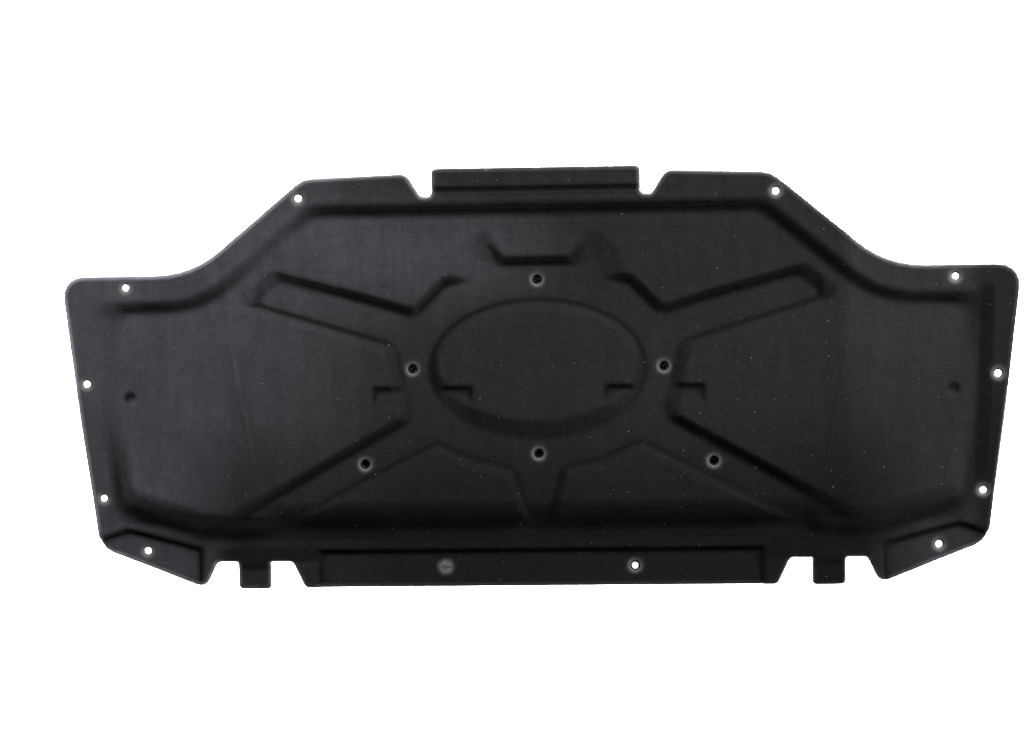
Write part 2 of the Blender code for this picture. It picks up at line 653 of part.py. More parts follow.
def build_pad():
    """One closed sheet: the face, the underside below it, and the cut edge that joins them."""
    places, faces = triangulated()
    used, faces = np.unique(faces, return_inverse=True)
    places = places[used]
    faces = faces.reshape(-1, 3)
    face_z, thickness = face_and_thickness(places)
    under_z = np.maximum(face_z - thickness, 0.0)

    mesh = bmesh.new()
    upper = [mesh.verts.new((x, y, z)) for (x, y), z in zip(places, face_z)]
    lower = [mesh.verts.new((x, y, z)) for (x, y), z in zip(places, under_z)]
    for a, b, c in faces:
        mesh.faces.new((upper[a], upper[b], upper[c]))
        mesh.faces.new((lower[c], lower[b], lower[a]))
    partner = dict(zip(upper, lower))
    for edge in [edge for edge in mesh.edges if edge.is_boundary and edge.verts[0] in partner]:
        loop = edge.link_loops[0]
        start, end = loop.vert, loop.link_loop_next.vert
        mesh.faces.new((end, start, partner[start], partner[end]))
    bmesh.ops.triangulate(mesh, faces=[face for face in mesh.faces if len(face.verts) > 3])
    bmesh.ops.recalc_face_normals(mesh, faces=mesh.faces)
    data = bpy.data.meshes.new("insulation_pad")
    mesh.to_mesh(data)
    mesh.free()
    pad = bpy.data.objects.new("insulation_pad", data)
    bpy.context.scene.collection.objects.link(pad)
    return pad


def felt_material():
    """Black needled felt, slightly shiny where it is pressed."""
    felt = bpy.data.materials.new("black_felt")
    felt.use_nodes = True
    shader = felt.node_tree.nodes["Principled BSDF"]
    shader.inputs["Base Color"].default_value = FELT_COLOUR
    shader.inputs["Roughness"].default_value = 0.9
    shader.inputs["Metallic"].default_value = 0.0
    return felt


def main():
    """Builds the pad and gives it its felt."""
    clear_scene()
    pad = build_pad()
    pad.data.materials.append(felt_material())
    pad.data.shade_smooth()
    pad.data.set_sharp_from_angle(angle=CREASE_ANGLE)


main()
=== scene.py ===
"""Hood insulation pad: the looks of one sheet of moulded black felt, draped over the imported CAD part."""

import logging
import math
from dataclasses import dataclass, field
from enum import Enum

import bmesh
import bpy
import numpy as np
from mathutils import Matrix, Vector, noise
from mathutils.bvhtree import BVHTree
from mathutils.kdtree import KDTree

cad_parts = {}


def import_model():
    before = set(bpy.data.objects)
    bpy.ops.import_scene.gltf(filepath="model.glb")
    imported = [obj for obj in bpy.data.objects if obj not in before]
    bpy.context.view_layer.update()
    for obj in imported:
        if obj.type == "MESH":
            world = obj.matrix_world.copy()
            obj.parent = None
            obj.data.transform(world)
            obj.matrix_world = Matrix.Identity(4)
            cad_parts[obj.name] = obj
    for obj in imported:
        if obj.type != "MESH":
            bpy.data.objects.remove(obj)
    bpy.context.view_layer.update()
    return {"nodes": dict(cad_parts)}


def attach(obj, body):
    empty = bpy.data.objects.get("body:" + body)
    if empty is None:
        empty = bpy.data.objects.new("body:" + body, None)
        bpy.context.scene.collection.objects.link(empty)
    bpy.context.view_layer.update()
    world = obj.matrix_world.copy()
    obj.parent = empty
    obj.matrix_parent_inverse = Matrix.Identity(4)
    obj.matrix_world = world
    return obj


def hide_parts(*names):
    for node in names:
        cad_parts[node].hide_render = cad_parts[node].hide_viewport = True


log = logging.getLogger("hood_pad")

CAD_NODE = "insulation_pad"
BODY = "root"

Pair = tuple[float, float]
Triple = tuple[float, float, float]
Tree = bpy.types.NodeTree
Output = bpy.types.NodeSocket


class Socket(Enum):
    """Kinds of socket that a node group can have."""

    VALUE = "NodeSocketFloat"
    VECTOR = "NodeSocketVector"


class Axis(Enum):
    """What an edge of a zone on the face is measured along."""

    ACROSS = "to the right"
    OUTER = "outwards from the middle"
    UP = "towards the top tab"


def start_alone() -> None:
    """Leaves object mode with nothing selected."""
    if bpy.context.mode != "OBJECT":
        bpy.ops.object.mode_set(mode="OBJECT")
    bpy.ops.object.select_all(action="DESELECT")


def make_active(thing: bpy.types.Object) -> None:
    """Selects one object and makes it active.

    Args:
        thing: the object to work on.
    """
    start_alone()
    thing.select_set(True)
    bpy.context.view_layer.objects.active = thing


def eased(share: np.ndarray) -> np.ndarray:
    """Rounds off both ends of a 0 to 1 ramp.

    Args:
        share: values from 0 to 1.

    Returns:
        The eased values.
    """
    return share * share * (3 - 2 * share)


@dataclass
class PressedForm:
    """Heights of the pad's face on an even grid, eased as pressed felt eases them."""

    step: float = 0.0015
    margin: float = 0.03
    ray_start: float = 1.0
    bell_reach: int = 3
    least_weight: float = 1e-6
    inner_share: float = 0.98
    crease_round: float = 0.0016
    calm_round: float = 0.009
    line_round: float = 0.0042
    line_depth: float = 0.0009
    steep: float = 0.65
    busy_low: float = 0.00012
    busy_high: float = 0.0005
    corner: np.ndarray = field(default_factory=lambda: np.zeros(2))
    heights: np.ndarray = field(default_factory=lambda: np.zeros((1, 1)))
    there: np.ndarray = field(default_factory=lambda: np.zeros((1, 1)))

    def measure(self, solid: bpy.types.Object) -> None:
        """Drops a ray on the solid from above each point of the grid.

        Args:
            solid: the joined copy of the CAD solid.
        """
        mesh = bmesh.new()
        mesh.from_mesh(solid.data)
        tree = BVHTree.FromBMesh(mesh)
        places = np.array([vert.co[:2] for vert in mesh.verts])
        mesh.free()
        self.corner = places.min(axis=0) - self.margin
        size = np.ceil((np.ptp(places, axis=0) + 2 * self.margin) / self.step).astype(int)
        self.heights = np.zeros(size)
        self.there = np.zeros(size)
        down = Vector((0, 0, -1))
        for row, column in np.ndindex(*size):
            across, up = self.corner + self.step * np.array((row, column))
            hit = tree.ray_cast(Vector((across, up, self.ray_start)), down)[0]
            if hit is not None:
                self.heights[row, column] = hit.z
                self.there[row, column] = 1.0

    def blurred(self, radius: float) -> np.ndarray:
        """Evens the heights out over a radius, without reaching past the pad's edge.

        Args:
            radius: the blur's standard deviation.

        Returns:
            The evened heights.
        """
        total = self.smeared(self.heights * self.there, radius)
        weight = self.smeared(self.there, radius)
        return total / np.maximum(weight, self.least_weight)

    def smeared(self, grid: np.ndarray, radius: float) -> np.ndarray:
        """Spreads each value of a grid as a bell curve.

        Args:
            grid: the values.
            radius: the curve's standard deviation.

        Returns:
            The spread values.
        """
        reach = math.ceil(self.bell_reach * radius / self.step)
        share = np.exp(-0.5 * (np.arange(-reach, reach + 1) * self.step / radius) ** 2)
        share /= share.sum()
        for axis in (0, 1):
            spread = np.zeros_like(grid)
            for offset, part in zip(range(-reach, reach + 1), share):
                spread += part * np.roll(grid, offset, axis=axis)
            grid = spread
        return grid

    def eased_heights(self) -> np.ndarray:
        """Rounds the creases by a little and the calm stretches by more.

        Returns:
            The face's heights.
        """
        creased = self.blurred(self.crease_round)
        calm = self.blurred(self.calm_round)
        busy = (np.abs(creased - calm) - self.busy_low) / (self.busy_high - self.busy_low)
        return calm + (creased - calm) * eased(np.clip(busy, 0, 1))

    def crease_lines(self) -> np.ndarray:
        """Finds where the face folds.

        Returns:
            Up to 1 in the foot of a wall, down to -1 on a crest.
        """
        hollow = self.blurred(self.line_round) - self.blurred(self.crease_round)
        return np.clip(hollow / self.line_depth, -1, 1)

    def slopes(self) -> np.ndarray:
        """Finds how steep the face is.

        Returns:
            0 where it lies flat, up to 1 on a steep wall.
        """
        across, up = np.gradient(self.blurred(self.crease_round), self.step)
        inner = self.smeared(self.there, self.crease_round) > self.inner_share
        return np.clip(np.hypot(across, up) / self.steep, 0, 1) * inner

    def read(self, grid: np.ndarray, places: np.ndarray) -> np.ndarray:
        """Reads a grid between its points.

        Args:
            grid: the values.
            places: where to read, one row a place.

        Returns:
            One value for each place.
        """
        spot = (places[:, :2] - self.corner) / self.step
        low = np.clip(np.floor(spot).astype(int), 0, np.array(grid.shape) - 2)
        part = spot - low
        row, column = low[:, 0], low[:, 1]
        near = grid[row, column] * (1 - part[:, 1]) + grid[row, column + 1] * part[:, 1]
        far = grid[row + 1, column] * (1 - part[:, 1]) + grid[row + 1, column + 1] * part[:, 1]
        return near * (1 - part[:, 0]) + far * part[:, 0]


@dataclass
class ClipHole:
    """One round loop of the pad's cut edge."""

    centre: Pair
    radius: float


@dataclass
class FeltPad:
    """The whole pad: a fine felt skin made from a merged copy of the CAD solid."""

    weld: float = 0.00002
    wall_tilt: float = 0.02
    face_edge: float = 0.0062
    under_edge: float = 0.022
    rim_edge: float = 0.005
    most_splits: int = 7
    rim_round: float = 0.0014
    rim_swell: float = 0.0006
    rim_drop: float = 0.0005
    hole_sides: int = 12
    hole_span: float = 0.02
    hole_reach: float = 0.009
    facing_up: float = 0.1
    lump_height: float = 0.0007
    lump_size: float = 0.055
    second_lump: float = 0.5
    second_lump_finer: float = 2.3
    tuft_height: float = 0.00022
    tuft_size: float = 0.009
    ring_inner: float = 0.0048
    ring_middle: float = 0.35
    ring_outer: float = 0.0125
    ring_fade: float = 1.5
    ring_apart: float = 0.01
    panel_half: float = 0.24
    form: PressedForm = field(default_factory=PressedForm)
    holes: list[ClipHole] = field(default_factory=list)
    cut_faces: np.ndarray = field(default_factory=lambda: np.zeros(0))
    outline: list[Vector] = field(default_factory=list)
    piece: bpy.types.Object | None = None

    def build(self, source: bpy.types.Object) -> bpy.types.Object:
        """Makes the felt skin.

        Args:
            source: the CAD node that the skin stands for.

        Returns:
            The finished pad.
        """
        self.copy_solid(source)
        self.form.measure(self.piece)
        self.find_holes()
        self.open_rim()
        self.refine()
        self.round_holes()
        self.press()
        self.close_rim()
        self.add_lumps()
        self.write_masks()
        for polygon in self.piece.data.polygons:
            polygon.use_smooth = True
        return self.piece

    def copy_solid(self, source: bpy.types.Object) -> None:
        """Copies the CAD solid and joins its loose triangles.

        Args:
            source: the CAD node.
        """
        start_alone()
        piece = bpy.data.objects.new("felt_pad", source.data.copy())
        bpy.context.scene.collection.objects.link(piece)
        piece.data.materials.clear()
        self.piece = piece
        make_active(piece)
        bpy.ops.object.mode_set(mode="EDIT")
        bpy.ops.mesh.select_all(action="SELECT")
        bpy.ops.mesh.remove_doubles(threshold=self.weld)
        bpy.ops.mesh.customdata_custom_splitnormals_clear()
        bpy.ops.object.mode_set(mode="OBJECT")

    def is_wall(self, face: bmesh.types.BMFace) -> bool:
        """Tells whether a face belongs to the upright cut edge.

        Args:
            face: a face of the pad.

        Returns:
            True on the cut edge.
        """
        return abs(face.normal.z) < self.wall_tilt

    def rim_edges(self, mesh: bmesh.types.BMesh, upper: bool) -> list[bmesh.types.BMEdge]:
        """Finds the edges between the cut edge and the face or the underside.

        Args:
            mesh: the pad's mesh.
            upper: True for the rim of the face, False for the underside's.

        Returns:
            The rim's edges.
        """
        found = []
        for edge in mesh.edges:
            if len(edge.link_faces) != 2:
                continue
            walls = [self.is_wall(face) for face in edge.link_faces]
            if walls[0] == walls[1]:
                continue
            other = edge.link_faces[walls.index(False)]
            if (other.normal.z > 0) == upper:
                found.append(edge)
        return found

    def find_holes(self) -> None:
        """Finds the clip holes: the small closed loops of the rim."""
        mesh = bmesh.new()
        mesh.from_mesh(self.piece.data)
        mesh.normal_update()
        left = set(self.rim_edges(mesh, True))
        while left:
            edge = left.pop()
            group = {edge}
            front = [edge]
            while front:
                here = front.pop()
                for vert in here.verts:
                    for near in vert.link_edges:
                        if near in left:
                            left.discard(near)
                            group.add(near)
                            front.append(near)
            points = np.array([vert.co[:2] for near in group for vert in near.verts])
            span = np.ptp(points, axis=0)
            if max(span) < self.hole_span:
                centre = (points.min(axis=0) + points.max(axis=0)) / 2
                radius = float(np.hypot(*(points - centre).T).mean())
                self.holes.append(ClipHole((float(centre[0]), float(centre[1])), radius))
        mesh.free()

    def open_rim(self) -> None:
        """Takes the upright cut edge away, which leaves the face and the underside."""
        mesh = bmesh.new()
        mesh.from_mesh(self.piece.data)
        mesh.normal_update()
        walls = [face for face in mesh.faces if self.is_wall(face)]
        bmesh.ops.delete(mesh, geom=walls, context="FACES_KEEP_BOUNDARY")
        loose = [edge for edge in mesh.edges if not edge.link_faces]
        bmesh.ops.delete(mesh, geom=loose, context="EDGES")
        mesh.to_mesh(self.piece.data)
        mesh.free()

    def refine(self) -> None:
        """Splits long edges in edit mode until the felt's mesh is even."""
        make_active(self.piece)
        bpy.ops.object.mode_set(mode="EDIT")
        bpy.context.tool_settings.mesh_select_mode = (False, True, False)
        for _ in range(self.most_splits):
            mesh = bmesh.from_edit_mesh(self.piece.data)
            mesh.normal_update()
            long_edges = [edge for edge in mesh.edges if self.is_long(edge)]
            if not long_edges:
                break
            for face in mesh.faces:
                face.select_set(False)
            for edge in mesh.edges:
                edge.select_set(False)
            for edge in long_edges:
                edge.select_set(True)
            bmesh.update_edit_mesh(self.piece.data)
            bpy.ops.mesh.subdivide(number_cuts=1, ngon=False)
            bpy.ops.mesh.select_all(action="SELECT")
            bpy.ops.mesh.quads_convert_to_tris(quad_method="BEAUTY", ngon_method="BEAUTY")
        bpy.ops.object.mode_set(mode="OBJECT")

    def is_long(self, edge: bmesh.types.BMEdge) -> bool:
        """Tells whether an edge has to be split.

        Args:
            edge: an edge of the face, the underside or the rim.

        Returns:
            True where it is longer than its side of the pad allows.
        """
        run = edge.verts[0].co - edge.verts[1].co
        if edge.is_boundary:
            return run.xy.length > self.rim_edge
        upper = any(face.normal.z > 0 for face in edge.link_faces)
        return run.length > (self.face_edge if upper else self.under_edge)

    def round_holes(self) -> None:
        """Brings the faceted clip holes to true circles."""
        data = self.piece.data
        places = np.empty(len(data.vertices) * 3)
        data.vertices.foreach_get("co", places)
        places = places.reshape(-1, 3)
        for hole in self.holes:
            offset = places[:, :2] - hole.centre
            away = np.hypot(offset[:, 0], offset[:, 1])
            near = away < self.hole_reach
            turn = np.arctan2(offset[near, 1], offset[near, 0])
            facet = math.pi / self.hole_sides
            flat = np.cos((turn + facet) % (2 * facet) - facet)
            edge_at = hole.radius * math.cos(facet) / flat
            fade = np.clip((self.hole_reach - away[near]) / (self.hole_reach - hole.radius), 0, 1)
            grow = 1 + (hole.radius / edge_at - 1) * fade
            places[near, :2] = hole.centre + offset[near] * grow[:, None]
        data.vertices.foreach_set("co", places.ravel())
        data.update()

    def press(self) -> None:
        """Gives the face the eased heights of the pressed form."""
        data = self.piece.data
        upper = {index for face in data.polygons if face.normal.z > 0 for index in face.vertices}
        chosen = np.array(sorted(upper))
        places = self.places()
        places[chosen, 2] = self.form.read(self.form.eased_heights(), places[chosen])
        self.move_to(places)

    def close_rim(self) -> None:
        """Joins the face and the underside by a cut edge that is round from top to bottom."""
        mesh = bmesh.new()
        mesh.from_mesh(self.piece.data)
        mesh.normal_update()
        edges = [edge for edge in mesh.edges if edge.is_boundary]
        outward = self.outward(edges)
        upper = self.rims([edge for edge in edges if edge.link_faces[0].normal.z > 0])
        lower = [rim[::-1] for rim in self.rims([edge for edge in edges if edge.link_faces[0].normal.z < 0])]
        self.outline = [vert.co.copy() for vert in max(upper, key=len)]
        tree = KDTree(sum(map(len, lower)))
        homes = [(rim, index) for rim in lower for index in range(len(rim))]
        for number, (rim, index) in enumerate(homes):
            tree.insert((*rim[index].co.xy, 0), number)
        tree.balance()
        sheets = len(mesh.faces)
        for rim in upper:
            near = [homes[tree.find((*vert.co.xy, 0))[1]] for vert in rim]
            below, first = near[0]
            middle = [
                mesh.verts.new((vert.co + under[index].co) / 2 + outward[vert] * self.rim_swell)
                for vert, (under, index) in zip(rim, near)
            ]
            for index in range(len(rim)):
                after = (index + 1) % len(rim)
                mesh.faces.new((rim[after], rim[index], middle[index], middle[after]))
            self.zip_up(mesh, middle, below[first:] + below[:first])
        for rims, drop in ((upper, -self.rim_drop), (lower, self.rim_drop)):
            for rim in rims:
                for vert in rim:
                    vert.co += Vector((0, 0, drop)) - outward[vert] * self.rim_round
        self.cut_faces = (np.arange(len(mesh.faces)) >= sheets).astype(np.float32)
        mesh.to_mesh(self.piece.data)
        mesh.free()

    def rims(self, edges: list[bmesh.types.BMEdge]) -> list[list[bmesh.types.BMVert]]:
        """Follows open edges round each rim.

        Args:
            edges: the open edges of one side of the pad.

        Returns:
            Each rim's points, in the order in which the side's faces go round.
        """
        after = {edge.link_loops[0].vert: edge.link_loops[0].link_loop_next.vert for edge in edges}
        found = []
        while after:
            vert, following = after.popitem()
            rim = [vert]
            while following is not vert:
                rim.append(following)
                following = after.pop(following)
            found.append(rim)
        return found

    def zip_up(
        self, mesh: bmesh.types.BMesh, upper: list[bmesh.types.BMVert], lower: list[bmesh.types.BMVert]
    ) -> None:
        """Fills the gap between two rims that run alike but have different points.

        Args:
            mesh: the pad's mesh.
            upper: the upper rim's points.
            lower: the lower rim's points, from the one nearest to the upper rim's first.
        """
        high, low = 0, 0
        while high < len(upper) or low < len(lower):
            here, there = upper[high % len(upper)], lower[low % len(lower)]
            next_here, next_there = upper[(high + 1) % len(upper)], lower[(low + 1) % len(lower)]
            step_high = (next_here.co.xy - there.co.xy).length
            step_low = (here.co.xy - next_there.co.xy).length
            if low == len(lower) or (high < len(upper) and step_high <= step_low):
                mesh.faces.new((next_here, here, there))
                high += 1
            else:
                mesh.faces.new((here, there, next_there))
                low += 1

    def outward(self, rims: list[bmesh.types.BMEdge]) -> dict[bmesh.types.BMVert, Vector]:
        """Works out which way the cut edge faces at each point of the rim.

        Args:
            rims: the open edges of the face and the underside.

        Returns:
            A level direction of length 1 for each point.
        """
        ways: dict[bmesh.types.BMVert, Vector] = {}
        for edge in rims:
            loop = edge.link_loops[0]
            run = loop.link_loop_next.vert.co - loop.vert.co
            side = run.cross(edge.link_faces[0].normal)
            side.z = 0
            side.normalize()
            for vert in edge.verts:
                ways[vert] = ways.get(vert, Vector()) + side
        return {vert: way.normalized() for vert, way in ways.items()}

    def add_lumps(self) -> None:
        """Gives the face its slow waves and small tufts."""
        data = self.piece.data
        places = self.places()
        normals = np.empty(len(places) * 3)
        data.vertices.foreach_get("normal", normals)
        upper = normals.reshape(-1, 3)[:, 2] > self.facing_up
        for index in np.flatnonzero(upper):
            place = Vector(places[index])
            wave = noise.noise(place / self.lump_size)
            wave += self.second_lump * noise.noise(place * self.second_lump_finer / self.lump_size)
            tuft = noise.noise(place / self.tuft_size)
            places[index, 2] += self.lump_height * wave + self.tuft_height * tuft
        self.move_to(places)

    def places(self) -> np.ndarray:
        """Reads the pad's points.

        Returns:
            One row of x, y and z for each point.
        """
        places = np.empty(len(self.piece.data.vertices) * 3)
        self.piece.data.vertices.foreach_get("co", places)
        return places.reshape(-1, 3)

    def move_to(self, places: np.ndarray) -> None:
        """Moves the pad's points.

        Args:
            places: one row of x, y and z for each point.
        """
        self.piece.data.vertices.foreach_set("co", places.ravel())
        self.piece.data.update()

    def ring_centres(self) -> list[Pair]:
        """Gives the middle of every pressed ring: each hole's, and its mirror place.

        Returns:
            The places, each once.
        """
        found: list[Pair] = []
        for hole in self.holes:
            for place in (hole.centre, (-hole.centre[0], hole.centre[1])):
                if all(math.dist(place, other) > self.ring_apart for other in found):
                    found.append(place)
        return found

    def write_masks(self) -> None:
        """Writes the masks that the felt's material reads."""
        places = self.places()
        # Mask of the pressed rings, which get painted sheen.
        ring = np.zeros(len(places))
        for centre in self.ring_centres():
            away = np.hypot(places[:, 0] - centre[0], places[:, 1] - centre[1])
            share = np.clip((self.ring_outer - away) / (self.ring_outer - self.ring_inner), 0, 1)
            middle = np.where(away < self.ring_inner, self.ring_middle, 1.0)
            ring = np.maximum(ring, share**self.ring_fade * middle)
        # Masks for the painted shade of creases and steep walls and the painted highlights of crests and the
        # rim.
        lines = self.form.read(self.form.crease_lines(), places)
        self.write_mask("pressed", "POINT", ring)
        self.write_mask("rim_distance", "POINT", self.rim_distances(places))
        self.write_mask("crease", "POINT", np.clip(lines, 0, 1))
        self.write_mask("crest", "POINT", np.clip(-lines, 0, 1))
        self.write_mask("slope", "POINT", self.form.read(self.form.slopes(), places))
        # The faces in the panel's clip holes get a painted shadow.
        bores = self.cut_faces * self.in_bores()
        self.write_mask("bore_shadow", "FACE", bores)
        # The rest of the cut edge gets a painted highlight.
        self.write_mask("cut_edge", "FACE", self.cut_faces - bores)

    def rim_distances(self, places: np.ndarray) -> np.ndarray:
        """Measures how far each point of the face lies from the outline.

        Args:
            places: one row of x, y and z for each point.

        Returns:
            The level distance of each point.
        """
        fence = [Vector((*point.xy, height)) for point in self.outline for height in (-1, 1)]
        count = len(fence)
        panels = [(low, (low + 2) % count, (low + 3) % count, low + 1) for low in range(0, count, 2)]
        tree = BVHTree.FromPolygons(fence, panels)
        return np.array([tree.find_nearest((place[0], place[1], 0))[3] for place in places])

    def in_bores(self) -> np.ndarray:
        """Finds the faces in the clip holes of the panel, which look black from above and get a painted
        shadow.

        Returns:
            1 for each such face, 0 for each other.
        """
        middles = np.empty(len(self.piece.data.polygons) * 3)
        self.piece.data.polygons.foreach_get("center", middles)
        middles = middles.reshape(-1, 3)
        inside = np.zeros(len(middles))
        for hole in self.holes:
            if abs(hole.centre[0]) < self.panel_half and abs(hole.centre[1]) < self.panel_half:
                away = np.hypot(middles[:, 0] - hole.centre[0], middles[:, 1] - hole.centre[1])
                inside[away < hole.radius + self.rim_round] = 1.0
        return inside

    def write_mask(self, name: str, domain: str, values: np.ndarray) -> None:
        """Stores a mask on the pad's points or faces.

        Args:
            name: the mask's name.
            domain: POINT or FACE.
            values: one value for each of them.
        """
        mask = self.piece.data.attributes.new(name, "FLOAT", domain)
        mask.data.foreach_set("value", values.astype(np.float32))

    def dress(self, felt: bpy.types.Material) -> None:
        """Args:
            felt: the felt's material.
        """
        self.piece.data.materials.append(felt)
        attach(self.piece, BODY)
        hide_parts(CAD_NODE)


@dataclass(frozen=True)
class FeltFinish:
    """Black needled felt: short fibres, upright streaks and pale lint, with painted light: a veil of painted
    sheen, painted shade in creases, on steep walls and in shaded zones, painted highlights on crests, the rim
    and the cut edge, painted sheen on the pressed rings, and a painted shadow in the panel's clip holes.
    """

    base: Triple = (0.0042, 0.0042, 0.0042)
    # Painted sheen: a pale bluish grey that stands in for the felt's sheen and for uneven light across the
    # face.
    painted_sheen: Triple = (0.0158, 0.0153, 0.0180)
    # Painted sheen on the smooth pressed rings round the clip holes.
    ring: Triple = (0.075, 0.075, 0.075)
    ring_share: float = 0.7
    # Painted highlight on the rounded cut edge.
    edge: Triple = (0.045, 0.045, 0.046)
    edge_share: float = 0.8
    lint: Triple = (0.07, 0.07, 0.068)
    shadow: Triple = (0.0004, 0.0004, 0.0004)
    # Painted shade in creases and on steep walls, painted highlights on crests and along the rim.
    crease_painted_shade: float = 0.8
    slope_painted_shade: float = 0.6
    darkest: float = 0.08
    crest_painted_highlight: float = 0.15
    rim_painted_highlight: float = 3.6
    rim_wide: float = 0.006
    rim_narrow: float = 0.0008
    roughness: float = 0.92
    specular: float = 0.05
    sheen: float = 0.015
    sheen_roughness: float = 0.5
    bump_strength: float = 0.6
    bump_distance: float = 0.0007

    def build(self) -> bpy.types.Material:
        """Builds the felt's material.

        Returns:
            The material.
        """
        felt = bpy.data.materials.new("black_felt")
        felt.use_nodes = True
        tree = felt.node_tree
        shader = tree.nodes["Principled BSDF"]
        shader.inputs["Roughness"].default_value = self.roughness
        shader.inputs["Sheen Weight"].default_value = self.sheen
        shader.inputs["Sheen Roughness"].default_value = self.sheen_roughness
        shader.inputs["Specular IOR Level"].default_value = self.specular
        place = tree.nodes.new("ShaderNodeTexCoord").outputs["Object"]
        grain = add_group(tree, FeltGrain().build(), place)
        veil = add_group(tree, DustVeil().build(), place)
        lint = add_group(tree, LintSpecks().build(), place)

        shade = grain.outputs["Shade"]
        # Painted sheen and uneven light, mixed into the felt's black.
        colour = mix_colour(tree, self.base, self.painted_sheen, veil.outputs["Dust"])
        # Painted shade and highlights of the creases, walls, crests and rim.
        folds = self.folds(tree, veil.outputs["Calm"])
        folds = math_node(tree, "MAXIMUM", folds, self.darkest)
        # The painted shade of the zones, times the painted shade and highlights of the folds.
        light = math_node(tree, "MULTIPLY", veil.outputs["Light"], folds)
        colour = scale_colour(tree, colour, math_node(tree, "MULTIPLY", shade, light))
        # Painted sheen on the pressed rings.
        colour = mix_colour(tree, colour, self.ring, self.masked(tree, "pressed", self.ring_share, shade))
        # Painted highlight on the cut edge.
        colour = mix_colour(tree, colour, self.edge, self.masked(tree, "cut_edge", self.edge_share, shade))
        colour = mix_colour(tree, colour, self.lint, lint.outputs["Mask"])
        # Painted shadow in the panel's clip holes.
        colour = mix_colour(tree, colour, self.shadow, self.mask(tree, "bore_shadow"))
        tree.links.new(colour, shader.inputs["Base Color"])

        bump = tree.nodes.new("ShaderNodeBump")
        bump.inputs["Strength"].default_value = self.bump_strength
        bump.inputs["Distance"].default_value = self.bump_distance
        tree.links.new(grain.outputs["Height"], bump.inputs["Height"])
        tree.links.new(bump.outputs["Normal"], shader.inputs["Normal"])
        return felt

    def folds(self, tree: Tree, calm: Output) -> Output:
        """Paints shade into the creases and on the steep walls, and paints highlights on the crests and along
        the rim.

        Args:
            tree: the material's nodes.
            calm: where creases and walls stay as pale as the rest.

        Returns:
            The factor on the felt's colour, 1 where it lies flat.
        """
        crease, slope = self.mask(tree, "crease"), self.mask(tree, "slope")
        painted_shade = added(tree, [(crease, -self.crease_painted_shade), (slope, -self.slope_painted_shade)])
        painted_shade = math_node(tree, "MULTIPLY", painted_shade, math_node(tree, "SUBTRACT", 1.0, calm))
        rim = ramp(tree, self.mask(tree, "rim_distance"), self.rim_wide, self.rim_narrow)
        crest = self.mask(tree, "crest")
        return added(tree, [(1.0, 1.0), (painted_shade, 1.0), (crest, self.crest_painted_highlight), (rim, self.rim_painted_highlight)])

    def masked(self, tree: Tree, name: str, strength: float, grain: Output) -> Output:
        """Reads one of the pad's masks and breaks it up with the grain.

        Args:
            tree: the material's nodes.
            name: the mask's name.
            strength: the mask's share at its fullest.
            grain: the value that breaks it up.

        Returns:
            The mask's socket.
        """
        scaled = math_node(tree, "MULTIPLY", self.mask(tree, name), grain)
        return math_node(tree, "MULTIPLY", scaled, strength, clamp=True)

    def mask(self, tree: Tree, name: str) -> Output:
        """Reads one of the pad's masks.

        Args:
            tree: the material's nodes.
            name: the mask's name.

        Returns:
            The mask's socket.
        """
        node = tree.nodes.new("ShaderNodeAttribute")
        node.attribute_name = name
        return node.outputs["Fac"]


def add_group(tree: Tree, group: Tree, place: Output) -> bpy.types.Node:
    """Places a node group and gives it the point that it reads.

    Args:
        tree: the tree that it goes in.
        group: the group.
        place: the point's socket.

    Returns:
        The group's node.
    """
    node = tree.nodes.new("ShaderNodeGroup")
    node.node_tree = group
    tree.links.new(place, node.inputs["Place"])
    return node


def join(tree: Tree, source: object, target: Output) -> None:
    """Links a socket to an input, or sets the input's value.

    Args:
        tree: the nodes' tree.
        source: a socket, a number or a colour.
        target: the input.
    """
    if isinstance(source, bpy.types.NodeSocket):
        tree.links.new(source, target)
    elif isinstance(source, tuple):
        target.default_value = (*source, 1.0)
    else:
        target.default_value = source


def math_node(tree: Tree, operation: str, first: object, second: object = 0.5, clamp: bool = False) -> Output:
    """Adds a Math node.

    Args:
        tree: the nodes' tree.
        operation: the node's operation.
        first: its first value or socket.
        second: its second value or socket, which some operations leave out.
        clamp: whether the result stays from 0 to 1.

    Returns:
        The result's socket.
    """
    node = tree.nodes.new("ShaderNodeMath")
    node.operation = operation
    node.use_clamp = clamp
    join(tree, first, node.inputs[0])
    join(tree, second, node.inputs[1])
    return node.outputs[0]


def mix_colour(tree: Tree, first: object, second: object, share: object) -> Output:
    """Mixes two colours.

    Args:
        tree: the nodes' tree.
        first: the colour at 0.
        second: the colour at 1.
        share: how much of the second.

    Returns:
        The mixed colour's socket.
    """
    node = tree.nodes.new("ShaderNodeMix")
    node.data_type = "RGBA"
    join(tree, share, node.inputs["Factor"])
    join(tree, first, node.inputs[6])
    join(tree, second, node.inputs[7])
    return node.outputs[2]


def scale_colour(tree: Tree, colour: object, factor: object) -> Output:
    """Multiplies a colour by a value.

    Args:
        tree: the nodes' tree.
        colour: the colour.
        factor: the value.

    Returns:
        The scaled colour's socket.
    """
    node = tree.nodes.new("ShaderNodeVectorMath")
    node.operation = "SCALE"
    join(tree, colour, node.inputs[0])
    join(tree, factor, node.inputs["Scale"])
    return node.outputs[0]


